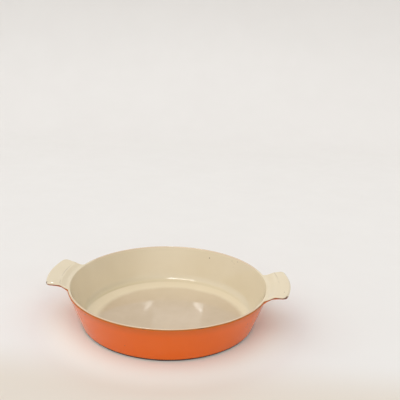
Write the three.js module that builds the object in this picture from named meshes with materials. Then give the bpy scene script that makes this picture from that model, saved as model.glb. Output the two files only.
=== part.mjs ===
// Round enamelled cast-iron baking dish with two ears, in millimetres, +Z up.
// The origin is the centre of the foot ring on the table, and the ears lie along X.
import * as THREE from 'three';

// Bowl. Sizes over enamel include the fired coats, the others are of bare iron.
const RIM_RADIUS = 120; // outside of the rim, over enamel
const RIM_HEIGHT = 46; // top of the rim, over enamel
const WALL_LEAN = THREE.MathUtils.degToRad(20); // the wall's lean outwards
const WALL = 2.6; // square to the wall's face
const FLOOR = 3.6;
const FLOOR_FILLET = 10; // hollow round from floor to wall
const RIM_ROUND = 1.2; // round of the rim's two edges
const BASE_CORNER = 4; // round at the bottom of the wall

// Foot ring, ground bare, and the recess inside it.
const FOOT_WIDTH = 8;
const FOOT_HEIGHT = 1.2;
const FOOT_SLOPE = 1.5; // run of the slanted step from the ring up into the recess

// Ears.
const EAR_REACH = 25; // past the rim, over enamel
const EAR_HALF_WIDTH = 40.2; // at the tip, over enamel
const EAR_FLARE = THREE.MathUtils.degToRad(15); // how far the sides open outwards
const EAR_TIP_CURVE = 120; // plan radius of the end
const EAR_CORNER = 5.5; // plan radius of the outer corners
const EAR_ROOT = 11; // hollow plan radius where a side runs into the rim
const EAR_RISE = 6.8; // height of the end over the rim
const EAR_THICKNESS = 2.8;
const EAR_EDGE = 1.15; // round of the edge
const EAR_FILLET = 5; // hollow round between the underside and the wall
const CLIMB_PLACE = 5; // middle of the climb out of the rim, measured from the rim
const STEP_PLACE = 11; // shallow step across the top, measured from the rim
const STEP_RUN = 1.2;
const STEP_DROP = 0.5;
const STEP_FADE = 3.6; // reach past the step over which it comes in

// Coats.
const COAT = 0.4; // thickness of every fired coat
const RIM_LINE = 0.5; // depth of the dark line over the widest place of the rim and ears
const BASE_BAND_TOP = 0.25; // share of the base corner that the outer coat covers
const BASE_BAND_END = 0.58; // share of the base corner where the coats stop and bare iron starts

// Facets.
const TIP_STEPS = 4;
const CORNER_STEPS = 3;
const ROOT_STEPS = 4;
const RIM_STEPS = 9;
const FILLET_STEPS = 5;
const WALL_RING_GAP = 1.2; // between the rings on the plain wall that the ears' undersides open out of
const EAR_BLEND = 7; // reach over which the rim's section turns into the ear's
const RISE_HALFWAY = 0.3; // share of the reach by which an ear has climbed about half-way
const CLIMB_LIMIT = 0.5; // share of a short ear's top where the middle of its climb is at most
const STEP_LIMITS = [0.75, 0.85]; // shares of a short ear's top where its step starts and ends at most
const FILLET_LIMIT = 0.4; // share of an ear's underside that its fillet takes at most

const RIM_IRON = RIM_RADIUS - COAT;
const RIM_TOP = RIM_HEIGHT - COAT;
const FLOOR_TOP = FOOT_HEIGHT + FLOOR;
const RIM_TURN = Math.PI / 2 + WALL_LEAN; // how far the rim's outer round turns
const RIM_CORNER = RIM_IRON + RIM_ROUND * (Math.tan(RIM_TURN / 2) - 1); // rim radius if its edge were sharp

// Radius of the iron wall's two faces at a height.
function outside(z) {
  return RIM_CORNER - (RIM_TOP - z) * Math.tan(WALL_LEAN);
}

function inside(z) {
  return outside(z) - WALL / Math.cos(WALL_LEAN);
}

// Arc of a round at a corner between two straight lines, as points from the first line to the second.
function roundCorner(before, corner, after, radius, steps) {
  const first = before.clone().sub(corner).normalize();
  const second = after.clone().sub(corner).normalize();
  const half = Math.acos(first.dot(second)) / 2;
  const middle = first.clone().add(second).normalize();
  const centre = corner.clone().addScaledVector(middle, radius / Math.sin(half));
  const start = corner.clone().addScaledVector(first, radius / Math.tan(half)).sub(centre);
  const end = corner.clone().addScaledVector(second, radius / Math.tan(half)).sub(centre);
  const turn = Math.atan2(start.cross(end), start.dot(end));
  return steps.map((share) => start.clone().rotateAround(new THREE.Vector2(), turn * share).add(centre));
}

function evenSteps(count) {
  return Array.from({ length: count + 1 }, (_, i) => i / count);
}

// Half section of the bowl: points of radius and height.
const innerRim = new THREE.Vector2(inside(RIM_TOP), RIM_TOP);
const outerRim = new THREE.Vector2(RIM_CORNER, RIM_TOP);
const innerCorner = new THREE.Vector2(inside(FLOOR_TOP), FLOOR_TOP);
const outerCorner = new THREE.Vector2(outside(0), 0);
const floorCentre = new THREE.Vector2(0, FLOOR_TOP);
const footCentre = new THREE.Vector2(0, 0);

const widest = Math.PI / 2 / RIM_TURN; // share of the rim's outer round that ends at its widest place
const rimSteps = [0, widest - RIM_LINE / RIM_ROUND / RIM_TURN, widest];
const rimOuterRound = roundCorner(innerRim, outerRim, outerCorner, RIM_ROUND, rimSteps);
const rimInnerRound = roundCorner(innerCorner, innerRim, outerRim, RIM_ROUND, evenSteps(2));
const floorFillet = roundCorner(floorCentre, innerCorner, innerRim, FLOOR_FILLET, evenSteps(FILLET_STEPS));
const bandMiddle = (BASE_BAND_TOP + BASE_BAND_END) / 2;
const bareMiddle = (BASE_BAND_END + 1) / 2;
const baseSteps = [0, BASE_BAND_TOP, bandMiddle, BASE_BAND_END, bareMiddle, 1];
const baseCorner = roundCorner(outerRim, outerCorner, footCentre, BASE_CORNER, baseSteps);

const footOuter = baseCorner.at(-1);
const footInner = new THREE.Vector2(footOuter.x - FOOT_WIDTH, 0);
const recessEdge = new THREE.Vector2(footInner.x - FOOT_SLOPE, FOOT_HEIGHT);

const crest = rimInnerRound.at(-1);
const insideRings = [...floorFillet, ...rimInnerRound];
const wallRings = [1, 2, 3, 4, 5].map((i) => {
  const z = rimOuterRound.at(-1).y - i * WALL_RING_GAP;
  return new THREE.Vector2(outside(z), z);
});
const rimRings = [
  crest.clone().lerp(rimOuterRound[0], 1 / 4),
  crest.clone().lerp(rimOuterRound[0], 2 / 4),
  crest.clone().lerp(rimOuterRound[0], 3 / 4),
  ...rimOuterRound,
  ...wallRings,
];
const outsideRings = [...baseCorner, footInner, recessEdge];

// Height of an ear's top at a distance from the dish's centre: it climbs out of the rim, then flattens.
function earTop(radius) {
  const reach = Math.max(0, radius - RIM_IRON) / EAR_REACH;
  const halfway = RISE_HALFWAY * RISE_HALFWAY;
  return RIM_TOP + EAR_RISE * reach * reach * (1 + halfway) / (reach * reach + halfway);
}

// A station is a place on the dish's outline seen from above: the point, the way out of the outline there,
// and the angle at which the bowl's section meets it.
function arcStations(centre, radius, from, to, steps, side) {
  return evenSteps(steps).map((share) => {
    const turn = from + (to - from) * share;
    const out = new THREE.Vector2(Math.cos(turn), Math.sin(turn));
    return { point: centre.clone().addScaledVector(out, radius), out: out.multiplyScalar(side) };
  });
}

// Half of one ear from the middle of its end round to the rim: end, outer corner, straight side, root.
function halfEar() {
  const tip = RIM_RADIUS + EAR_REACH - COAT;
  const sideOut = new THREE.Vector2(-Math.sin(EAR_FLARE), Math.cos(EAR_FLARE));
  const sideDistance = sideOut.dot(new THREE.Vector2(tip, EAR_HALF_WIDTH)) - COAT;
  const tipCentre = new THREE.Vector2(tip - EAR_TIP_CURVE, 0);
  const cornerOrbit = EAR_TIP_CURVE - EAR_CORNER;
  const cornerDistance = sideDistance - EAR_CORNER - sideOut.dot(tipCentre);
  const cornerTurn = EAR_FLARE + Math.asin(cornerDistance / cornerOrbit);
  const cornerWay = new THREE.Vector2(Math.cos(cornerTurn), Math.sin(cornerTurn));
  const cornerCentre = tipCentre.clone().addScaledVector(cornerWay, cornerOrbit);
  const rootTurn = EAR_FLARE + Math.asin((sideDistance + EAR_ROOT) / (RIM_IRON + EAR_ROOT));
  const rootWay = new THREE.Vector2(Math.cos(rootTurn), Math.sin(rootTurn));
  const rootCentre = rootWay.clone().multiplyScalar(RIM_IRON + EAR_ROOT);
  const sideTurn = Math.PI / 2 + EAR_FLARE;
  const stations = [
    ...arcStations(tipCentre, EAR_TIP_CURVE, 0, cornerTurn, TIP_STEPS, 1).slice(0, -1),
    ...arcStations(cornerCentre, EAR_CORNER, cornerTurn, sideTurn, CORNER_STEPS, 1),
    ...arcStations(rootCentre, EAR_ROOT, sideTurn + Math.PI, rootTurn + Math.PI, ROOT_STEPS, -1),
  ];
  let travelled = 0;
  const along = stations.map(({ point }, i) => {
    travelled += i ? point.distanceTo(stations[i - 1].point) : 0;
    return travelled;
  });
  stations.forEach((station, i) => {
    station.angle = rootTurn * along[i] / travelled;
  });
  return { stations, rootTurn };
}

function mirrored({ point, out, angle }, alongX) {
  const flip = alongX ? new THREE.Vector2(-1, 1) : new THREE.Vector2(1, -1);
  return {
    point: point.clone().multiply(flip),
    out: out.clone().multiply(flip),
    angle: alongX ? Math.PI - angle : -angle,
  };
}

// All stations, once round the dish: a quarter, its mirror image, and the mirror image of that half.
function outline() {
  const { stations, rootTurn } = halfEar();
  const origin = new THREE.Vector2();
  const rim = arcStations(origin, RIM_IRON, rootTurn, Math.PI / 2, RIM_STEPS, 1).slice(1);
  rim.forEach((station) => {
    station.angle = station.out.angle();
  });
  const quarter = [...stations, ...rim];
  const half = [...quarter, ...quarter.slice(0, -1).reverse().map((station) => mirrored(station, true))];
  return [...half, ...half.slice(1, -1).reverse().map((station) => mirrored(station, false))];
}

function lift(planPoint, z) {
  return new THREE.Vector3(planPoint.x, planPoint.y, z);
}

// Section of an ear at a station: climb, step, edge, underside and fillet, as many points as the rim has.
function earSection({ point, out, angle }) {
  const way = new THREE.Vector2(Math.cos(angle), Math.sin(angle));
  const start = way.clone().multiplyScalar(crest.x);
  const inset = (depth) => point.clone().addScaledVector(out, -depth);
  const edgeTop = inset(EAR_EDGE);
  const edgeReach = Math.max(0, edgeTop.length() - RIM_IRON);
  const topPlace = (reach, share) => {
    const radius = Math.min(RIM_IRON + reach, RIM_IRON + share * edgeReach);
    return start.clone().lerp(edgeTop, (radius - start.length()) / (edgeTop.length() - start.length()));
  };
  const drop = STEP_DROP * THREE.MathUtils.smoothstep(edgeReach, STEP_PLACE, STEP_PLACE + STEP_FADE);
  const climb = topPlace(CLIMB_PLACE, CLIMB_LIMIT);
  const beforeStep = topPlace(STEP_PLACE, STEP_LIMITS[0]);
  const afterStep = topPlace(STEP_PLACE + STEP_RUN, STEP_LIMITS[1]);
  const top = (place) => earTop(place.length()) - drop;
  const bevel = EAR_EDGE * (1 - Math.SQRT1_2);
  const lineTurn = Math.PI / 2 - RIM_LINE / EAR_EDGE;
  const lineInset = EAR_EDGE * (1 - Math.sin(lineTurn));
  const lineDrop = EAR_EDGE * (1 - Math.cos(lineTurn));
  const edge = top(edgeTop);
  const bottom = edge - EAR_THICKNESS;
  const rootHeight = RIM_TOP - EAR_THICKNESS;
  const root = lift(way.clone().multiplyScalar(outside(rootHeight)), rootHeight);
  const edgeBottom = lift(edgeTop, bottom);
  const filletShare = Math.min(FILLET_LIMIT, EAR_FILLET / edgeBottom.distanceTo(root));
  const filletStart = root.clone().lerp(edgeBottom, filletShare);
  const filletFoot = rootHeight - EAR_FILLET;
  const filletEnd = lift(way.clone().multiplyScalar(outside(filletFoot)), filletFoot);
  const fillet = new THREE.QuadraticBezierCurve3(filletStart, root, filletEnd);
  return [
    lift(climb, earTop(climb.length())),
    lift(beforeStep, earTop(beforeStep.length())),
    lift(afterStep, top(afterStep)),
    lift(edgeTop, edge),
    lift(inset(lineInset), edge - lineDrop),
    lift(point, edge - EAR_EDGE),
    lift(point, bottom + EAR_EDGE),
    lift(inset(bevel), bottom + bevel),
    edgeBottom,
    fillet.getPoint(0.25),
    filletEnd,
  ];
}

// Rings of the casting, one point per station: over the rim, out to the ears and back under them to the foot.
function castingRings(stations) {
  const turned = (section) => section.map(({ x: radius, y: z }) => stations.map(({ angle }) => (
    new THREE.Vector3(radius * Math.cos(angle), radius * Math.sin(angle), z)
  )));
  const ears = stations.map(earSection);
  const rim = turned(rimRings).map((ring, r) => ring.map((place, s) => {
    const reach = stations[s].point.length() - RIM_IRON;
    return place.lerp(ears[s][r], THREE.MathUtils.smoothstep(reach, 0, EAR_BLEND));
  }));
  const poleTop = [new THREE.Vector3(0, 0, FLOOR_TOP)];
  const poleBottom = [new THREE.Vector3(0, 0, FOOT_HEIGHT)];
  return [poleTop, ...turned(insideRings), ...rim, ...turned(outsideRings), poleBottom];
}

// Closed skin over a chain of rings. A ring of one point is a pole. A chain without poles closes on itself.
// Four-sided facets split along their shorter diagonal, so that two skins over the same rings fit exactly.
function loft(chain) {
  const points = chain.flat();
  const size = Math.max(...chain.map((ring) => ring.length));
  const first = [];
  let count = 0;
  chain.forEach((ring) => {
    first.push(count);
    count += ring.length;
  });
  const index = [];
  const links = chain[0].length === 1 ? chain.length - 1 : chain.length;
  for (let r = 0; r < links; r += 1) {
    const next = (r + 1) % chain.length;
    for (let s = 0; s < size; s += 1) {
      const a = first[r] + (s % chain[r].length);
      const b = first[next] + (s % chain[next].length);
      const c = first[next] + ((s + 1) % chain[next].length);
      const d = first[r] + ((s + 1) % chain[r].length);
      const split = points[a].distanceTo(points[c]) <= points[b].distanceTo(points[d]);
      if (b === c) index.push(a, b, d);
      else if (a === d) index.push(a, b, c);
      else if (split) index.push(a, b, c, a, c, d);
      else index.push(a, b, d, b, c, d);
    }
  }
  const geometry = new THREE.BufferGeometry().setFromPoints(points);
  geometry.setIndex(index);
  geometry.computeVertexNormals();
  return geometry;
}

// The same rings, moved out of the casting's face by one coat.
function coatedRings(rings) {
  const normals = loft(rings).getAttribute('normal');
  let vertex = 0;
  return rings.map((ring) => ring.map((place) => {
    const out = new THREE.Vector3().fromBufferAttribute(normals, vertex);
    vertex += 1;
    return place.clone().addScaledVector(out, COAT);
  }));
}

const rings = castingRings(outline());
const coated = coatedRings(rings);

// A coat over the casting's rings from one to another, with its own face and the face on the iron.
function coat(from, to) {
  const face = coated.slice(from, to + 1);
  const bed = rings.slice(from, to + 1).reverse();
  if (to === rings.length - 1) return loft([...bed, ...face]);
  return loft([...face, ...bed]);
}

// Rings at which one coat stops and the next starts.
const rimStart = 1 + insideRings.length;
const creamEnd = rimStart + 4;
const rimLineEnd = rimStart + 5;
const baseStart = rimStart + rimRings.length;
const orangeEnd = baseStart + 1;
const baseBandEnd = baseStart + 3;
const recess = rings.length - 2;

const dish = new THREE.Group();

function piece(name, geometry, look) {
  const mesh = new THREE.Mesh(geometry, new THREE.MeshStandardMaterial(look));
  mesh.name = name;
  dish.add(mesh);
}

const groundCoatLook = { color: 0x2b2523, roughness: 0.55, metalness: 0 };
const orangeLook = { color: 0xd8602c, roughness: 0.16, metalness: 0 };

piece('iron_casting', loft(rings), { color: 0x4a4745, roughness: 0.6, metalness: 0.9 });
piece('interior_enamel', coat(0, creamEnd), { color: 0xe4d6b6, roughness: 0.14, metalness: 0 });
piece('rim_ground_coat', coat(creamEnd, rimLineEnd), { ...groundCoatLook });
piece('exterior_enamel', coat(rimLineEnd, orangeEnd), { ...orangeLook });
piece('base_ground_coat', coat(orangeEnd, baseBandEnd), { ...groundCoatLook });
piece('underside_enamel', coat(recess, rings.length - 1), { ...orangeLook });

export default dish;
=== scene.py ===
"""Looks of a round enamelled cast-iron baking dish, in metres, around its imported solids."""
import math

import bpy
import numpy as np
from mathutils import Matrix, Vector


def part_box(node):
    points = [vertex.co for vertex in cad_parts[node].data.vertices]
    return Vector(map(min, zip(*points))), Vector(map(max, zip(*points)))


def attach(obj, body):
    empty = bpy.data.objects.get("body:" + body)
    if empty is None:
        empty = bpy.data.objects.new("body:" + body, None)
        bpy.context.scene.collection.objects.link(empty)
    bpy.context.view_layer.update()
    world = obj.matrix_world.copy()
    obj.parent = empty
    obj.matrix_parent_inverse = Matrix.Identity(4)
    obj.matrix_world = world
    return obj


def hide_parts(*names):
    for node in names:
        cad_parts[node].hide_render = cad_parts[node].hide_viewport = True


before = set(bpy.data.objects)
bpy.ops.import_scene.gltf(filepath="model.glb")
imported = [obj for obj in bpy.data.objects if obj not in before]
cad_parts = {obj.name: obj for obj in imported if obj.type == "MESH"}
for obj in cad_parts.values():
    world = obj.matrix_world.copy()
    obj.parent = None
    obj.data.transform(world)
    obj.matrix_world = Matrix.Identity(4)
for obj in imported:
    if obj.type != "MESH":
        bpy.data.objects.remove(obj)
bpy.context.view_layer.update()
BODY = "root"
MM = 0.001

# Bowl, as in the solids. Sizes over enamel include the fired coats, the others are of bare iron.
RIM_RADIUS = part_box("rim_ground_coat")[1].y
RIM_HEIGHT = 46 * MM
WALL_LEAN = math.radians(20)
WALL = 2.6 * MM
FLOOR = 3.6 * MM
FLOOR_FILLET = 10 * MM
RIM_ROUND = 1.2 * MM
BASE_CORNER = 4 * MM
FOOT_WIDTH = 8 * MM
FOOT_HEIGHT = 1.2 * MM
FOOT_SLOPE = 1.5 * MM

# Ears, as in the solids, but for the step across the left one, which lies nearer to the rim here.
EAR_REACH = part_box("rim_ground_coat")[1].x - RIM_RADIUS
EAR_HALF_WIDTH = 40.2 * MM
EAR_FLARE = math.radians(15)
EAR_TIP_CURVE = 120 * MM
EAR_CORNER = 5.5 * MM
EAR_ROOT = 11 * MM
EAR_RISE = 6.8 * MM
EAR_THICKNESS = 2.8 * MM
EAR_EDGE = 1.15 * MM
EAR_FILLET = 5 * MM
EAR_FILLET_SHARE = 0.4
EAR_BLEND = 7 * MM
RISE_HALFWAY = 0.3
STEP_PLACE_LEFT = 7.5 * MM
STEP_PLACE_RIGHT = 11 * MM
STEP_RUN = 1.2 * MM
STEP_DROP = 0.5 * MM
STEP_FADE = 3.6 * MM

# Coats, and the borders between them along the section. The rim line lies between its head above the rim's
# widest place and its foot below it, and the base band between two shares of the base corner.
COAT = 0.4 * MM
GROUND_COAT = 0.25 * MM
COAT_TAPER = 0.7 * MM
COAT_LIP = 0.3
RIM_LINE_HEAD = 1.0 * MM
RIM_LINE_FOOT = 0.05 * MM
EAR_LINE_HEAD = -0.45 * MM
EAR_LINE_FOOT = 1.2 * MM
BASE_BAND_TOP = 0.05
BASE_BAND_END = 0.58
BORDER_WOBBLE = 0.14 * MM
WOBBLE_WAVES = range(3, 40)
LIP_ROWS = np.array([0, 0.15, 0.35, 0.6, 1.0])

# Facets of the fine meshes.
TIP_STEPS = 22
CORNER_STEPS = 14
SIDE_STEPS = 4
ROOT_STEPS = 16
RIM_STEPS = 50
FILLET_STEPS = 20
ROUND_STEPS = 8
WALL_STEPS = 14
TOP_STEPS = 22
FLOOR_STEPS = 8
FOOT_STEPS = 4
SLOPE_STEPS = 3
SHARP_TURN = math.radians(40)

# Colours, linear, chosen so that the lit dish looks as in the photograph.
CREAM_DEEP = (0.72, 0.61, 0.425)
CREAM_PALE = (0.76, 0.655, 0.475)
CREAM_THIN = (0.67, 0.52, 0.36)
STAIN_DEEP = (0.515, 0.40, 0.265)
STAIN_PALE = (0.585, 0.46, 0.32)
# Painted shade in the floor's rounded corner.
CORNER_SHADE = (0.615, 0.515, 0.335)
ORANGE_DEEP = (0.775, 0.122, 0.002)
ORANGE_BRIGHT = (0.83, 0.14, 0.003)
# Browner, darker orange towards the rim's top and on the ears' undersides.
ORANGE_TOP = (0.66, 0.125, 0.007)
LINE_BROWN = (0.46, 0.155, 0.03)
LINE_DARK = (0.16, 0.07, 0.025)
LINE_EAR = (0.20, 0.055, 0.025)
GROUND_DARK = (0.05, 0.018, 0.01)
GROUND_BROWN = (0.13, 0.045, 0.022)
IRON_DARK = (0.10, 0.095, 0.09)
IRON_PALE = (0.30, 0.29, 0.28)
RUST = (0.16, 0.065, 0.03)
CHIP = (0.16, 0.09, 0.055)
# Grime of the scratches, and painted shade along the foot of each ear's step.
GRIME_AND_STEP_SHADE = (0.60, 0.50, 0.36)
TABLE_WARM = (0.765, 0.74, 0.71)
TABLE_PALE = (0.79, 0.767, 0.738)
# Painted warm shade and orange bounce light on the ground in front of the dish.
TABLE_FRONT_SHADE = (0.70, 0.635, 0.55)
# Painted light that lifts the dish's shade and orange bounce on the ground round it.
TABLE_MIDDLE_LIGHT = (0.862, 0.90, 0.835)

# Roughness from the glossiest places to the dullest, and refraction of the glass coats.
CREAM_ROUGH = (0.045, 0.09)
ORANGE_ROUGH = (0.08, 0.16)
GROUND_ROUGH = (0.55, 0.75)
LINE_ROUGH = (0.5, 0.7)
IRON_ROUGH = (0.4, 0.65)
TABLE_ROUGH = (0.5, 0.6)
CREAM_IOR = 1.5
ORANGE_IOR = 1.44
GROUND_IOR = 1.06
LINE_IOR = 1.2

# Stain on the floor and painted shade in the corner round it: centres, radii, and where each fades.
STAIN_CENTRE = (4 * MM, -14.5 * MM)
STAIN_RADIUS = 90 * MM
STAIN_FADE = 5 * MM
STAIN_RAGGED = 6 * MM
STAIN_BACK = 0.55
STAIN_BACK_RUN = (0, 90 * MM)
CORNER_SHADE_CENTRE = (1 * MM, -10 * MM)
CORNER_SHADE_RADIUS = 100 * MM
CORNER_SHADE_FADE = 1.8 * MM
CORNER_SHADE_RIGHT = 0.4
CORNER_SHADE_RIGHT_RUN = (-90 * MM, -20 * MM)
CORNER_SHADE_HEIGHTS = (7 * MM, 1.5 * MM)

# Where other colours set in on the dish: depths below the rim's top, places beside the ears, distances out
# from the rim, and distances from the foot of an ear's step, where the painted shade lies.
CREST_DEPTHS = (1.6 * MM, 0.3 * MM)
CREST_SIDES = (45 * MM, 60 * MM)
ORANGE_DEPTHS = (13 * MM, 1 * MM)
LINE_EAR_RUN = (2 * MM, 8 * MM)
STEP_SHADE_LINE = (0.8 * MM, 0.2 * MM)

# Ground: painted warm shade and orange bounce light on its front, along Y and by distance from the dish, and
# painted light that lifts the shade in its middle, by distance.
TABLE_FRONT_SHADE_RUN = (-0.075, -0.165)
TABLE_FRONT_SHADE_REACH = (0.65, 0.27)
TABLE_MIDDLE_LIGHT_REACH = (0.165, 0.12)

# Small marks in millimetres, each a centre and a radius, and how their edges run, in radii.
MARK_RAGGED = 1.6 * MM
MARK_EDGE = (1.7, 1.3)
CREAM_MARKS = [
    (43.0, 105.3, 37.0, 0.7),
    (136.6, -23.6, 52.0, 0.6),
    (-139.6, -34.4, 51.0, 1.5),
    (138.3, -35.6, 50.9, 1.1),
    (136.9, -36.5, 50.4, 0.9),
    (135.5, -36.9, 50.1, 0.8),
    (139.6, -33.9, 51.2, 0.8),
    (140.7, 29.6, 51.8, 0.7),
]
SCRATCHES = [
    (73.9, 88.4, 41.3, 0.8),
    (75.4, 86.4, 40.0, 0.5),
    (76.8, 84.5, 38.8, 0.7),
    (81.3, 82.4, 42.8, 0.9),
    (75.7, 83.6, 34.8, 0.6),
]
ORANGE_MARKS = [
    (-80.1, -87.6, 41.3, 0.9),
    (95.3, -63.3, 29.1, 0.7),
    (93.8, -62.8, 25.1, 0.6),
    (-33.8, -104.3, 16.3, 0.5),
    (-139.2, -35.2, 50.4, 1.6),
    (137.2, -36.8, 50.3, 1.6),
]

# Light of the surroundings: an even part, what is seen of it past the ground, and broad patches that add to
# it or take from it, with azimuth, elevation, radiance, and the cosines at their edge and core.
SKY_EVEN = 0.335
SKY_SEEN = 0.8
SKY_PATCHES = [(-90, 42, 0.68), (11, 42, 1.0), (40, 42, 0.10), (145, 42, 0.25), (-145, 42, 0.14),
               (-162, 71, 0.38), (70, 0, -0.12)]
PATCH_EDGE = 0.55
PATCH_CORE = 0.97

# Lights that only show as glints in gloss: azimuth, elevation, distance, width, height, radiance and roll.
GLINTS = {
    "lamp": (-155.5, 71, 2.0, 0.40, 0.11, 26, 0),
    "lamp end": (-171, 71, 2.0, 0.06, 0.14, 90, 0),
    "screen": (-175.0, 28.1, 1.186, 0.15, 0.058, 0.5, 0),
    "left strip": (-170.1, 26.0, 1.22, 0.010, 0.030, 3.6, -42),
    "right strip": (-178.4, 25.9, 1.22, 0.011, 0.034, 3.6, 46),
}

# Ground and the backdrop that it sweeps up into.
STAGE_HALF_WIDTH = 4.0
STAGE_FRONT = -4.0
STAGE_BACK = 1.0
STAGE_SWEEP = 0.5
STAGE_TOP = 0.75
STAGE_STEPS = 12

# Camera, from the photograph's 400 x 400 frame: the dish's centre and how the camera looks at it.
IMAGE_SIDE = 400
FOCAL_PX = 620
CENTRE_PX = (168.4, 316.05)
CAMERA_PITCH = math.radians(16.54)
CAMERA_ROLL = math.radians(1.88)
CAMERA_DISTANCE = 0.77407
DISH_TURN = math.radians(-3.68)
SENSOR_MM = 36

RIM_IRON = RIM_RADIUS - COAT
RIM_TOP = RIM_HEIGHT - COAT
FLOOR_TOP = FOOT_HEIGHT + FLOOR
RIM_TURN = math.pi / 2 + WALL_LEAN
RIM_CORNER = RIM_IRON + RIM_ROUND * (math.tan(RIM_TURN / 2) - 1)


def outside(z):
    """Radius of the iron wall's outer face at a height."""
    return RIM_CORNER - (RIM_TOP - z) * math.tan(WALL_LEAN)


def inside(z):
    """Radius of the iron wall's inner face at a height."""
    return outside(z) - WALL / math.cos(WALL_LEAN)


def smoothstep(x, low, high):
    """0 below low, 1 above high, and smooth between them."""
    t = np.clip((np.asarray(x, float) - low) / (high - low), 0, 1)
    return t * t * (3 - 2 * t)


def round_corner(before, corner, after, radius, shares):
    """Points of the arc that rounds a corner between two lines, at shares of its turn."""
    before, corner, after = (np.array(p, float) for p in (before, corner, after))
    first = (before - corner) / np.linalg.norm(before - corner)
    second = (after - corner) / np.linalg.norm(after - corner)
    half = math.acos(float(first @ second)) / 2
    middle = (first + second) / np.linalg.norm(first + second)
    centre = corner + middle * radius / math.sin(half)
    start = corner + first * radius / math.tan(half) - centre
    end = corner + second * radius / math.tan(half) - centre
    turn = math.atan2(start[0] * end[1] - start[1] * end[0], float(start @ end))
    angles = turn * np.asarray(shares)[:, None]
    across = np.array([-start[1], start[0]])
    return centre + np.cos(angles) * start + np.sin(angles) * across


def between(start, end, steps):
    """Points from start to end, without start."""
    shares = np.arange(1, steps + 1)[:, None] / steps
    return np.array(start) + (np.array(end) - np.array(start)) * shares


def arc_stations(centre, radius, start, end, steps, side):
    """Points on an arc of the outline seen from above, and the way out of the outline at each."""
    turns = np.linspace(start, end, steps + 1)
    out = np.stack([np.cos(turns), np.sin(turns)], -1)
    return np.array(centre) + radius * out, side * out


def half_ear():
    """Half of one ear's outline from the middle of its end round to the rim, and the angle where it ends."""
    tip = RIM_RADIUS + EAR_REACH - COAT
    side_out = np.array([-math.sin(EAR_FLARE), math.cos(EAR_FLARE)])
    side_distance = side_out @ [tip, EAR_HALF_WIDTH] - COAT
    tip_centre = np.array([tip - EAR_TIP_CURVE, 0.0])
    corner_orbit = EAR_TIP_CURVE - EAR_CORNER
    corner_turn = EAR_FLARE + math.asin((side_distance - EAR_CORNER - side_out @ tip_centre) / corner_orbit)
    corner_centre = tip_centre + corner_orbit * np.array([math.cos(corner_turn), math.sin(corner_turn)])
    root_turn = EAR_FLARE + math.asin((side_distance + EAR_ROOT) / (RIM_IRON + EAR_ROOT))
    root_centre = (RIM_IRON + EAR_ROOT) * np.array([math.cos(root_turn), math.sin(root_turn)])
    side_turn = math.pi / 2 + EAR_FLARE
    end, end_out = arc_stations(tip_centre, EAR_TIP_CURVE, 0, corner_turn, TIP_STEPS, 1)
    corner, corner_out = arc_stations(corner_centre, EAR_CORNER, corner_turn, side_turn, CORNER_STEPS, 1)
    root, root_out = arc_stations(
        root_centre, EAR_ROOT, side_turn + math.pi, root_turn + math.pi, ROOT_STEPS, -1)
    side = between(corner[-1], root[0], SIDE_STEPS)[:-1]
    side_outs = np.tile(side_out, (SIDE_STEPS - 1, 1))
    points = np.concatenate([end[:-1], corner, side, root])
    outs = np.concatenate([end_out[:-1], corner_out, side_outs, root_out])
    steps = np.linalg.norm(np.diff(points, axis=0), axis=1)
    along = np.concatenate([[0], np.cumsum(steps)])
    return points, outs, root_turn * along / along[-1], root_turn


def outline():
    """Stations once round the dish: outline points, ways out, and angles of the bowl's section there."""
    points, outs, angles, root_turn = half_ear()
    rim, rim_out = arc_stations((0, 0), RIM_IRON, root_turn, math.pi / 2, RIM_STEPS, 1)
    rim_angles = np.linspace(root_turn, math.pi / 2, RIM_STEPS + 1)
    points = np.concatenate([points, rim[1:]])
    outs = np.concatenate([outs, rim_out[1:]])
    angles = np.concatenate([angles, rim_angles[1:]])
    for flip, turn, first in (((-1, 1), math.pi, 0), ((1, -1), 0, 1)):
        mirror = slice(-2, None if first == 0 else 0, -1)
        points = np.concatenate([points, points[mirror] * flip])
        outs = np.concatenate([outs, outs[mirror] * flip])
        angles = np.concatenate([angles, turn - angles[mirror]])
    return points, outs, angles


POINTS, OUTS, ANGLES = outline()
STATIONS = len(ANGLES)
WAYS = np.stack([np.cos(ANGLES), np.sin(ANGLES)], -1)
REACH = np.linalg.norm(POINTS, axis=1) - RIM_IRON
EAR_SHARE = smoothstep(REACH, 0, EAR_BLEND)
STEP_PLACE = np.where(POINTS[:, 0] < 0, STEP_PLACE_LEFT, STEP_PLACE_RIGHT)


def turned(section):
    """Rings of a half section of radius and height, carried round the dish."""
    section = np.asarray(section)
    plan = section[:, None, :1] * WAYS[None]
    height = np.broadcast_to(section[:, None, 1:], plan.shape[:2] + (1,))
    return np.concatenate([plan, height], -1)


def lift(plan, height):
    """Points seen from above, put at heights."""
    plan = np.asarray(plan)
    height = np.broadcast_to(height, plan.shape[:-1])
    return np.concatenate([plan, height[..., None]], -1)


def ear_top(plan):
    """Height of an ear's top at points seen from above, with the shallow step across it."""
    beyond = np.maximum(0, np.linalg.norm(plan, axis=-1) - RIM_IRON)
    share = (beyond / EAR_REACH) ** 2
    halfway = RISE_HALFWAY ** 2
    rise = EAR_RISE * share * (1 + halfway) / (share + halfway)
    present = smoothstep(REACH - EAR_EDGE, STEP_PLACE, STEP_PLACE + STEP_FADE)
    drop = STEP_DROP * smoothstep(beyond, STEP_PLACE, STEP_PLACE + STEP_RUN) * present
    return RIM_TOP + rise - drop


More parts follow.
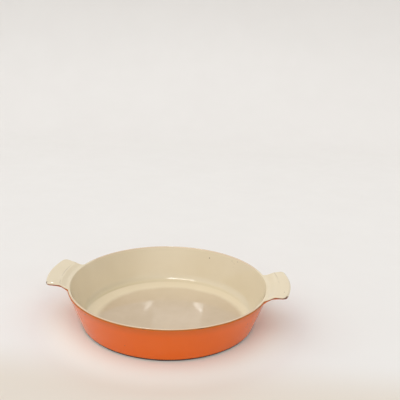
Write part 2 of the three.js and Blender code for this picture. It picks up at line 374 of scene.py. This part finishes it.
def ear_rings(crest, top_count, round_count, under_count):
    """Rings over an ear at every station: top, edge, underside and the fillet under it."""
    start = WAYS * crest
    edge_plan = POINTS - OUTS * EAR_EDGE
    rings = []
    for share in np.arange(1, top_count + 1) / top_count:
        plan = start + (edge_plan - start) * share
        rings.append(lift(plan, ear_top(plan)))
    edge = ear_top(edge_plan)
    for turn in np.linspace(0, math.pi / 2, round_count + 1)[1:]:
        plan = POINTS - OUTS * EAR_EDGE * (1 - math.sin(turn))
        rings.append(lift(plan, edge - EAR_EDGE * (1 - math.cos(turn))))
    bottom = edge - EAR_THICKNESS
    for turn in np.linspace(0, math.pi / 2, round_count + 1):
        plan = POINTS - OUTS * EAR_EDGE * (1 - math.cos(turn))
        rings.append(lift(plan, bottom + EAR_EDGE * (1 - math.sin(turn))))
    root_height = RIM_TOP - EAR_THICKNESS
    root = lift(WAYS * outside(root_height), root_height)
    edge_bottom = lift(edge_plan, bottom)
    length = np.linalg.norm(edge_bottom - root, axis=1)[:, None]
    fillet_start = root + (edge_bottom - root) * np.minimum(EAR_FILLET_SHARE, EAR_FILLET / length)
    fillet_foot = root_height - EAR_FILLET
    fillet_end = lift(WAYS * outside(fillet_foot), fillet_foot)
    for share in np.arange(1, under_count + 1) / under_count:
        rings.append(edge_bottom + (fillet_start - edge_bottom) * share)
    for t in np.arange(1, under_count + 1) / under_count:
        rings.append((1 - t) ** 2 * fillet_start + 2 * t * (1 - t) * root + t * t * fillet_end)
    return np.array(rings)


def casting_rings():
    """Rings of the casting from the middle of its floor to the middle of its underside, and the ring numbers
    of the rim's widest line, of the base corner's start and of the recess."""
    inner_rim = (inside(RIM_TOP), RIM_TOP)
    outer_rim = (RIM_CORNER, RIM_TOP)
    inner_corner = (inside(FLOOR_TOP), FLOOR_TOP)
    outer_corner = (outside(0), 0)
    even = np.linspace(0, 1, ROUND_STEPS + 1)
    fillet = round_corner((0, FLOOR_TOP), inner_corner, inner_rim, FLOOR_FILLET,
                          np.linspace(0, 1, FILLET_STEPS + 1))
    inner_round = round_corner(inner_corner, inner_rim, outer_rim, RIM_ROUND, even)
    outer_round = round_corner(inner_rim, outer_rim, outer_corner, RIM_ROUND, even * math.pi / 2 / RIM_TURN)
    floor = between((0, FLOOR_TOP), fillet[0], FLOOR_STEPS)[:-1]
    wall = between(fillet[-1], inner_round[0], WALL_STEPS)[:-1]
    inner = turned(np.concatenate([floor, fillet, wall, inner_round]))

    crest = inner_round[-1]
    top = between(crest, outer_round[0], TOP_STEPS)
    lower_count = 3 * ROUND_STEPS + 1
    last = RIM_TOP - EAR_THICKNESS - EAR_FILLET
    widest = outer_round[-1]
    lower = between(widest, (outside(last), last), lower_count)
    lower[:, 0] = [min(outside(z), RIM_IRON) for z in lower[:, 1]]
    plain = turned(np.concatenate([top, outer_round[1:], lower]))
    ears = ear_rings(crest[0], TOP_STEPS, ROUND_STEPS, ROUND_STEPS)
    rim = plain + (ears - plain) * EAR_SHARE[None, :, None]

    base = round_corner(outer_rim, outer_corner, (0, 0), BASE_CORNER, even)
    outer_wall = between((outside(last), last), base[0], WALL_STEPS)[:-1]
    foot_inner = (base[-1][0] - FOOT_WIDTH, 0)
    recess = (foot_inner[0] - FOOT_SLOPE, FOOT_HEIGHT)
    foot = np.concatenate([between(base[-1], foot_inner, FOOT_STEPS),
                           between(foot_inner, recess, SLOPE_STEPS)])
    under = between(recess, (0, FOOT_HEIGHT), FLOOR_STEPS)[:-1]
    outer = turned(np.concatenate([outer_wall, base, foot, under]))
    widest_ring = len(inner) + TOP_STEPS + ROUND_STEPS - 1
    base_ring = len(inner) + len(rim) + len(outer_wall)
    recess_ring = base_ring + len(base) + len(foot) - 1
    return np.concatenate([inner, rim, outer]), widest_ring, base_ring, recess_ring


RINGS, WIDEST_RING, BASE_RING, RECESS_RING = casting_rings()


def ring_normals(rings):
    """Ways out of the surface over rings, from the steps along and across them."""
    along = np.gradient(rings, axis=0)
    across = np.roll(rings, -1, axis=1) - np.roll(rings, 1, axis=1)
    normal = np.cross(along, across)
    return normal / np.linalg.norm(normal, axis=-1, keepdims=True)


NORMALS = ring_normals(RINGS)
STEPS = np.linalg.norm(np.diff(RINGS, axis=0), axis=-1)
TRAVEL = np.concatenate([np.zeros((1, STATIONS)), np.cumsum(STEPS, axis=0)])


def wobble(seed, amount):
    """Uneven hand-wiped border: a small shift for every station, smooth round the dish."""
    draw = np.random.default_rng(seed)
    shift = np.zeros(STATIONS)
    for waves in WOBBLE_WAVES:
        phase, size = draw.uniform(0, 2 * math.pi), draw.normal()
        shift += size * np.sin(waves * ANGLES + phase) / math.sqrt(waves)
    return amount * shift / np.abs(shift).max()


def sampled(field, travel):
    """A field of the casting's surface at distances along the section, one row of distances per ring."""
    out = np.empty((len(travel), STATIONS, field.shape[-1]))
    for s in range(STATIONS):
        for axis in range(field.shape[-1]):
            out[:, s, axis] = np.interp(travel[:, s], TRAVEL[:, s], field[:, s, axis])
    return out


def strip_travel(start, end, taper):
    """Distances along the section for a coat from one border to another: the casting's own rings between
    them, packed closer at its borders. A coat without a start or end runs on to the dish's axis."""
    near = LIP_ROWS[:, None] * taper
    first = TRAVEL[0] - 1 if start is None else start + taper
    last = TRAVEL[-1] + 1 if end is None else end - taper
    rows = [TRAVEL[r] for r in range(len(RINGS)) if (TRAVEL[r] > first).all() and (TRAVEL[r] < last).all()]
    if start is not None:
        rows = [*(start + near), *rows]
    if end is not None:
        rows = [*rows, *(end - near[::-1])]
    return np.array(rows)


def loft(name, chain, node, material):
    """Closed mesh over a chain of rings, riding on the dish. A ring of one point is a pole, and a chain
    without poles closes on itself."""
    first, verts = [], []
    for ring in chain:
        first.append(len(verts))
        verts.extend(map(tuple, ring))
    faces = []
    links = len(chain) - 1 if len(chain[0]) == 1 else len(chain)
    for r in range(links):
        n = (r + 1) % len(chain)
        for s in range(STATIONS):
            e = (s + 1) % STATIONS
            corners = [first[r] + s % len(chain[r]), first[n] + s % len(chain[n]),
                       first[n] + e % len(chain[n]), first[r] + e % len(chain[r])]
            faces.append(list(dict.fromkeys(corners)))
    mesh = bpy.data.meshes.new(name)
    mesh.from_pydata(verts, [], faces)
    mesh.update()
    mesh.polygons.foreach_set("use_smooth", [True] * len(mesh.polygons))
    mesh.set_sharp_from_angle(angle=SHARP_TURN)
    mesh.materials.append(material)
    piece = bpy.data.objects.new(name, mesh)
    bpy.context.scene.collection.objects.link(piece)
    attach(piece, BODY)
    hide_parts(node)
    return piece


class Finish:
    """Node tree of one material, with a short call for each kind of node."""

    def __init__(self, name):
        self.material = bpy.data.materials.new(name)
        self.material.use_nodes = True
        self.tree = self.material.node_tree
        self.surface = self.tree.nodes["Principled BSDF"]
        self.place = self.node("ShaderNodeTexCoord").outputs["Object"]

    def node(self, kind, inputs=None, **settings):
        """A node with its settings, and its inputs given as numbers, colours or other nodes' outputs."""
        made = self.tree.nodes.new(kind)
        for key, value in settings.items():
            setattr(made, key, value)
        for key, value in (inputs or {}).items():
            self.feed(made.inputs[key], value)
        return made

    def feed(self, socket, value):
        """Sets a socket to a number or colour, or links an output to it."""
        if isinstance(value, bpy.types.NodeSocket):
            self.tree.links.new(value, socket)
        else:
            socket.default_value = value

    def set(self, **inputs):
        """Sets inputs of the surface shader, named with underscores for spaces."""
        for key, value in inputs.items():
            self.feed(self.surface.inputs[key.replace("_", " ")], value)

    def math(self, operation, first, second=0.0):
        """Arithmetic on two values."""
        return self.node("ShaderNodeMath", {0: first, 1: second}, operation=operation).outputs[0]

    def noise(self, size, detail=2.0, stretch=(1, 1, 1)):
        """Cloudy values from 0 to 1, with features of about a size in metres."""
        scaled = self.node("ShaderNodeVectorMath", {0: self.place, 1: stretch}, operation="MULTIPLY")
        return self.node("ShaderNodeTexNoise", {"Vector": scaled.outputs[0], "Scale": 1 / size,
                                                "Detail": detail}).outputs["Fac"]

    def ramp(self, value, low, high, start=0.0, end=1.0):
        """A value mapped smoothly from low..high to start..end."""
        return self.node("ShaderNodeMapRange", {"Value": value, "From Min": low, "From Max": high,
                                                "To Min": start, "To Max": end},
                         interpolation_type="SMOOTHSTEP").outputs["Result"]

    def mix(self, share, first, second):
        """Colour between two colours."""
        made = self.node("ShaderNodeMix", data_type="RGBA")
        for socket, value in zip((made.inputs[0], made.inputs[6], made.inputs[7]), (share, first, second)):
            self.feed(socket, value)
        return made.outputs[2]

    def distance(self, point):
        """Distance from a point in the dish's frame."""
        return self.node("ShaderNodeVectorMath", {0: self.place, 1: point},
                         operation="DISTANCE").outputs["Value"]

    def along(self, axis):
        """Place along one axis of the dish's frame."""
        return self.node("ShaderNodeSeparateXYZ", {0: self.place}).outputs[axis]

    def from_axis(self, centre=(0, 0)):
        """Distance from an upright line."""
        moved = self.node("ShaderNodeVectorMath", {0: self.place, 1: (-centre[0], -centre[1], 0)},
                          operation="ADD")
        flat = self.node("ShaderNodeVectorMath", {0: moved.outputs[0], 1: (1, 1, 0)}, operation="MULTIPLY")
        return self.node("ShaderNodeVectorMath", {0: flat.outputs[0]}, operation="LENGTH").outputs["Value"]

    def marked(self, colour, marks, mark_colour):
        """A colour with small uneven marks on it."""
        ragged = self.noise(MARK_RAGGED, 3)
        outer, full = MARK_EDGE
        for x, y, z, size in marks:
            radius = size * MM
            away = self.distance((x * MM, y * MM, z * MM))
            reach = self.math("ADD", away, self.math("MULTIPLY", ragged, radius))
            colour = self.mix(self.ramp(reach, outer * radius, full * radius), colour, mark_colour)
        return colour

    def bump(self, heights):
        """Fine unevenness of the surface: noises with their heights in metres, added up."""
        normal = None
        for value, height in heights:
            made = self.node("ShaderNodeBump", {"Height": value, "Distance": height, "Strength": 1.0})
            if normal is not None:
                self.feed(made.inputs["Normal"], normal)
            normal = made.outputs["Normal"]
        self.set(Normal=normal)


def rgb(red, green, blue):
    """A colour with its alpha."""
    return (red, green, blue, 1)


def floor_stain(finish, colour):
    """Greyer floor with a ragged edge, where food and spoons wear it, weaker towards the back."""
    edge = finish.math("ADD", finish.from_axis(STAIN_CENTRE),
                       finish.math("MULTIPLY", finish.noise(22 * MM, 3), STAIN_RAGGED))
    floor = finish.ramp(edge, STAIN_RADIUS + STAIN_FADE, STAIN_RADIUS - STAIN_FADE)
    stain = finish.mix(finish.noise(14 * MM, 4), rgb(*STAIN_DEEP), rgb(*STAIN_PALE))
    worn = finish.ramp(finish.along("Y"), *STAIN_BACK_RUN, 1, STAIN_BACK)
    return finish.mix(finish.math("MULTIPLY", floor, worn), colour, stain)


def painted_corner_shade(finish, colour):
    """Painted shade: browner and darker in the floor's rounded corner, most at the left."""
    outer = finish.ramp(finish.from_axis(CORNER_SHADE_CENTRE), CORNER_SHADE_RADIUS - CORNER_SHADE_FADE,
                        CORNER_SHADE_RADIUS + CORNER_SHADE_FADE)
    low = finish.ramp(finish.along("Z"), *(FLOOR_TOP + height for height in CORNER_SHADE_HEIGHTS))
    side = finish.ramp(finish.along("X"), *CORNER_SHADE_RIGHT_RUN, 1, CORNER_SHADE_RIGHT)
    amount = finish.math("MULTIPLY", finish.math("MULTIPLY", outer, low), side)
    return finish.mix(amount, colour, rgb(*CORNER_SHADE))


def thin_crest(finish, colour):
    """Cream that runs thin over the rim's crest, but not by the ears."""
    crest = finish.ramp(finish.along("Z"), *(RIM_HEIGHT - depth for depth in CREST_DEPTHS))
    plain = finish.ramp(finish.math("ABSOLUTE", finish.along("Y")), *CREST_SIDES)
    return finish.mix(finish.math("MULTIPLY", crest, plain), colour, rgb(*CREAM_THIN))


def painted_step_shade(finish, colour):
    """Painted shade: a broken darker line along the foot of the step across each ear."""
    step = finish.ramp(finish.along("X"), -MM, MM, STEP_PLACE_LEFT, STEP_PLACE_RIGHT)
    beyond = finish.math("SUBTRACT", finish.from_axis(), RIM_IRON + STEP_RUN)
    foot = finish.math("ABSOLUTE", finish.math("SUBTRACT", beyond, step))
    line = finish.math("MULTIPLY", finish.ramp(foot, *STEP_SHADE_LINE),
                       finish.ramp(finish.noise(18 * MM, 2), 0.4, 0.6))
    return finish.mix(line, colour, rgb(*GRIME_AND_STEP_SHADE))


def cream_enamel():
    """Gloss cream glass coat: warm and slightly cloudy, with what use has left on it, and painted shade in
    the floor's corner and along the ears' steps.
    """
    finish = Finish("cream_enamel")
    colour = finish.mix(finish.noise(30 * MM, 3), rgb(*CREAM_DEEP), rgb(*CREAM_PALE))
    # Floor stain, painted shade in the floor's corner, thin crest, and painted shade along the ears' steps.
    for trace_or_shade in (floor_stain, painted_corner_shade, thin_crest, painted_step_shade):
        colour = trace_or_shade(finish, colour)
    colour = finish.marked(colour, SCRATCHES, rgb(*GRIME_AND_STEP_SHADE))
    colour = finish.marked(colour, CREAM_MARKS, rgb(*CHIP))
    finish.set(Base_Color=colour, IOR=CREAM_IOR,
               Roughness=finish.ramp(finish.noise(9 * MM, 3), 0.3, 0.75, *CREAM_ROUGH))
    finish.bump([(finish.noise(26 * MM, 1), 0.12 * MM), (finish.noise(5 * MM, 1), 0.012 * MM)])
    return finish.material


def orange_enamel():
    """Gloss orange glass coat, deeper where it runs thick, and browner and darker towards the rim's top and
    under the ears.
    """
    finish = Finish("orange_enamel")
    colour = finish.mix(finish.noise(35 * MM, 3), rgb(*ORANGE_DEEP), rgb(*ORANGE_BRIGHT))
    # Browner and darker towards the rim's top, and so on the ears' undersides too.
    top_share = finish.ramp(finish.along("Z"), *(RIM_HEIGHT - depth for depth in ORANGE_DEPTHS))
    colour = finish.mix(top_share, colour, rgb(*ORANGE_TOP))
    colour = finish.marked(colour, ORANGE_MARKS, rgb(*CHIP))
    finish.set(Base_Color=colour, IOR=ORANGE_IOR,
               Roughness=finish.ramp(finish.noise(11 * MM, 3), 0.3, 0.75, *ORANGE_ROUGH))
    finish.bump([(finish.noise(24 * MM, 1), 0.1 * MM), (finish.noise(4 * MM, 1), 0.012 * MM)])
    return finish.material


def ground_coat():
    """Dark first coat, half matt and slightly brown where it is thin."""
    finish = Finish("ground_coat")
    colour = finish.mix(finish.noise(3 * MM, 3), rgb(*GROUND_DARK), rgb(*GROUND_BROWN))
    finish.set(Base_Color=colour, IOR=GROUND_IOR,
               Roughness=finish.ramp(finish.noise(2 * MM, 2), 0.3, 0.7, *GROUND_ROUGH))
    finish.bump([(finish.noise(1.5 * MM, 2), 0.03 * MM)])
    return finish.material


def thin_line():
    """First coat where the two top coats thin out over it: brown, and dark in places and on the ears."""
    finish = Finish("thin_line")
    colour = finish.mix(finish.ramp(finish.noise(14 * MM, 3), 0.55, 0.75), rgb(*LINE_BROWN), rgb(*LINE_DARK))
    ear = finish.ramp(finish.from_axis(), *(RIM_RADIUS + reach for reach in LINE_EAR_RUN))
    colour = finish.mix(ear, colour, rgb(*LINE_EAR))
    finish.set(Base_Color=colour, IOR=LINE_IOR,
               Roughness=finish.ramp(finish.noise(2 * MM, 2), 0.3, 0.7, *LINE_ROUGH))
    finish.bump([(finish.noise(1.5 * MM, 2), 0.02 * MM)])
    return finish.material


def bare_iron():
    """Ground cast iron: grey, grainy and rusted in places."""
    finish = Finish("bare_iron")
    grain = finish.mix(finish.noise(1.2 * MM, 4), rgb(*IRON_DARK), rgb(*IRON_PALE))
    rust = finish.ramp(finish.noise(8 * MM, 4), 0.55, 0.72)
    finish.set(Base_Color=finish.mix(rust, grain, rgb(*RUST)),
               Metallic=finish.ramp(rust, 0, 1, 0.85, 0.1),
               Roughness=finish.ramp(finish.noise(2 * MM, 3), 0.3, 0.7, *IRON_ROUGH))
    finish.bump([(finish.noise(0.9 * MM, 3), 0.05 * MM)])
    return finish.material


def pale_table():
    """Plain pale ground that the dish stands on, with painted warm shade and orange bounce light in front of
    it, and painted light round the dish that lifts its shade.
    """
    finish = Finish("pale_table")
    pale = finish.mix(finish.noise(90 * MM, 2), rgb(*TABLE_WARM), rgb(*TABLE_PALE))
    near = finish.math("MULTIPLY", finish.ramp(finish.along("Y"), *TABLE_FRONT_SHADE_RUN),
                       finish.ramp(finish.from_axis(), *TABLE_FRONT_SHADE_REACH))
    front = finish.mix(near, pale, rgb(*TABLE_FRONT_SHADE))
    middle = finish.ramp(finish.from_axis(), *TABLE_MIDDLE_LIGHT_REACH)
    finish.set(Base_Color=finish.mix(middle, front, rgb(*TABLE_MIDDLE_LIGHT)),
               Roughness=finish.ramp(finish.noise(30 * MM, 2), 0.3, 0.7, *TABLE_ROUGH))
    return finish.material


def coat_surfaces(start, end, full):
    """Outer and inner rings of a coat that lies on the casting between two borders, with a rounded lip at
    each border."""
    taper = np.full(STATIONS, COAT_TAPER)
    if start is not None and end is not None:
        taper = np.minimum(taper, (end - start) / 2)
    travel = strip_travel(start, end, taper)
    near = np.ones_like(travel)
    if start is not None:
        near = np.minimum(near, (travel - start) / taper)
    if end is not None:
        near = np.minimum(near, (end - travel) / taper)
    thickness = full * (COAT_LIP + (1 - COAT_LIP) * np.sqrt(1 - (1 - np.clip(near, 0, 1)) ** 2))
    base = sampled(RINGS, travel)
    normal = sampled(NORMALS, travel)
    normal /= np.linalg.norm(normal, axis=-1, keepdims=True)
    return base + normal * thickness[..., None], base


def borders():
    """Where the coats meet along the section at every station: over and under the rim line, over and under
    the line round the base, and at the recess."""
    widest = TRAVEL[WIDEST_RING]
    head = RIM_LINE_HEAD + (EAR_LINE_HEAD - RIM_LINE_HEAD) * EAR_SHARE
    foot = RIM_LINE_FOOT + (EAR_LINE_FOOT - RIM_LINE_FOOT) * EAR_SHARE
    upper = widest - head + wobble(1, BORDER_WOBBLE)
    lower = widest + foot + wobble(2, BORDER_WOBBLE)
    corner, under = TRAVEL[BASE_RING], TRAVEL[BASE_RING + ROUND_STEPS]
    base_top = corner + (under - corner) * BASE_BAND_TOP + wobble(3, BORDER_WOBBLE)
    base_end = corner + (under - corner) * BASE_BAND_END + wobble(4, BORDER_WOBBLE)
    return upper, lower, base_top, base_end, TRAVEL[RECESS_RING]


def pole(height):
    """Ring of one point on the dish's axis."""
    return np.array([[0, 0, height]])


def build_dish():
    """All pieces of the dish, each standing for the solid of its node."""
    cream, orange, iron = cream_enamel(), orange_enamel(), bare_iron()
    rim_upper, rim_lower, base_top, base_end, recess = borders()
    loft("casting", [pole(FLOOR_TOP), *RINGS, pole(FOOT_HEIGHT)], "iron_casting", iron)
    outer, base = coat_surfaces(None, rim_upper, COAT)
    loft("cream_coat", [pole(FLOOR_TOP + COAT), *outer, *base[::-1], pole(FLOOR_TOP)],
         "interior_enamel", cream)
    for name, node, slot, start, end, full, material in (
            ("rim_line", "rim_ground_coat", "ground_coat", rim_upper, rim_lower, GROUND_COAT, thin_line()),
            ("orange_coat", "exterior_enamel", "orange_enamel", rim_lower, base_top, COAT, orange),
            ("base_line", "base_ground_coat", "ground_coat", base_top, base_end, GROUND_COAT, ground_coat())):
        outer, base = coat_surfaces(start, end, full)
        loft(name, [*outer, *base[::-1]], node, material)
    outer, base = coat_surfaces(recess, None, COAT)
    loft("underside_coat", [pole(FOOT_HEIGHT), *base[::-1], *outer, pole(FOOT_HEIGHT - COAT)],
         "underside_enamel", orange)


def build_stage():
    """Pale ground that sweeps up into a backdrop behind the dish."""
    turns = np.linspace(0, math.pi / 2, STAGE_STEPS + 1)
    section = [(STAGE_FRONT, 0)]
    section += [(STAGE_BACK + STAGE_SWEEP * math.sin(t), STAGE_SWEEP * (1 - math.cos(t))) for t in turns]
    section.append((STAGE_BACK + STAGE_SWEEP, STAGE_TOP))
    verts = [(x, y, z) for y, z in section for x in (-STAGE_HALF_WIDTH, STAGE_HALF_WIDTH)]
    faces = [(2 * i, 2 * i + 1, 2 * i + 3, 2 * i + 2) for i in range(len(section) - 1)]
    mesh = bpy.data.meshes.new("ground")
    mesh.from_pydata(verts, [], faces)
    mesh.polygons.foreach_set("use_smooth", [True] * len(mesh.polygons))
    mesh.materials.append(pale_table())
    ground = bpy.data.objects.new("ground", mesh)
    bpy.context.scene.collection.objects.link(ground)


def direction(azimuth, elevation):
    """Way from the dish to a place round it: azimuth 0 is on the camera's side, and turns towards +X."""
    azimuth, elevation = math.radians(azimuth), math.radians(elevation)
    return Vector((math.sin(azimuth) * math.cos(elevation), -math.cos(azimuth) * math.cos(elevation),
                   math.sin(elevation)))


def glint(name, azimuth, elevation, distance, width, height, radiance, roll):
    """Flat light that faces the dish, rolled about the way it faces. It only shows in gloss."""
    data = bpy.data.lights.new(name, "AREA")
    data.shape = "RECTANGLE"
    data.size = width
    data.size_y = height
    data.energy = radiance * math.pi * width * height
    light = bpy.data.objects.new(name, data)
    light.location = direction(azimuth, elevation) * distance
    facing = (-light.location).to_track_quat("-Z", "Y").to_matrix()
    light.rotation_euler = (facing @ Matrix.Rotation(math.radians(roll), 3, "Z")).to_euler()
    light.visible_camera = False
    light.visible_diffuse = False
    bpy.context.scene.collection.objects.link(light)


def build_sky():
    """Surroundings of the studio: even light, with broad patches that fade into it, and pale where seen."""
    world = bpy.data.worlds.new("studio")
    world.use_nodes = True
    tree = world.node_tree
    look = tree.nodes.new("ShaderNodeTexCoord").outputs["Generated"]
    total = None
    for azimuth, elevation, radiance in SKY_PATCHES:
        toward = tree.nodes.new("ShaderNodeVectorMath")
        toward.operation = "DOT_PRODUCT"
        toward.inputs[1].default_value = direction(azimuth, elevation)
        tree.links.new(look, toward.inputs[0])
        patch = tree.nodes.new("ShaderNodeMapRange")
        patch.interpolation_type = "SMOOTHSTEP"
        patch.inputs["From Min"].default_value = PATCH_EDGE
        patch.inputs["From Max"].default_value = PATCH_CORE
        patch.inputs["To Max"].default_value = radiance
        tree.links.new(toward.outputs["Value"], patch.inputs["Value"])
        add = tree.nodes.new("ShaderNodeMath")
        add.inputs[0].default_value = SKY_EVEN
        if total is not None:
            tree.links.new(total, add.inputs[0])
        tree.links.new(patch.outputs["Result"], add.inputs[1])
        total = add.outputs[0]
    seen = tree.nodes.new("ShaderNodeMix")
    seen.inputs["B"].default_value = SKY_SEEN
    tree.links.new(tree.nodes.new("ShaderNodeLightPath").outputs["Is Camera Ray"], seen.inputs["Factor"])
    tree.links.new(total, seen.inputs["A"])
    tree.links.new(seen.outputs["Result"], tree.nodes["Background"].inputs["Strength"])
    tree.nodes["Background"].inputs["Color"].default_value = rgb(1, 1, 1)
    bpy.context.scene.world = world
    bpy.context.scene.view_settings.view_transform = "Standard"


def build_light():
    """Soft surroundings, and lamps, a screen and two strips behind the dish that its gloss mirrors."""
    build_sky()
    for name, settings in GLINTS.items():
        glint(name, *settings)


def build_camera():
    """Camera that sees the dish as the photograph does."""
    pitch, roll = CAMERA_PITCH, CAMERA_ROLL
    ahead = Vector((0, math.cos(pitch), -math.sin(pitch)))
    level_up = Vector((0, math.sin(pitch), math.cos(pitch)))
    level_right = Vector((1, 0, 0))
    right = math.cos(roll) * level_right + math.sin(roll) * level_up
    up = -math.sin(roll) * level_right + math.cos(roll) * level_up
    across = (CENTRE_PX[0] - IMAGE_SIDE / 2) / FOCAL_PX
    down = (CENTRE_PX[1] - IMAGE_SIDE / 2) / FOCAL_PX
    to_dish = (ahead + across * right - down * up).normalized()
    turn = Matrix.Rotation(-DISH_TURN, 4, "Z")
    axes = Matrix((right, up, -ahead)).transposed().to_4x4()
    axes.translation = -to_dish * CAMERA_DISTANCE
    data = bpy.data.cameras.new("camera")
    data.sensor_width = SENSOR_MM
    data.lens = FOCAL_PX / IMAGE_SIDE * SENSOR_MM
    camera = bpy.data.objects.new("camera", data)
    camera.matrix_world = turn @ axes
    bpy.context.scene.collection.objects.link(camera)
    bpy.context.scene.camera = camera


build_camera()
build_dish()
build_stage()
build_light()
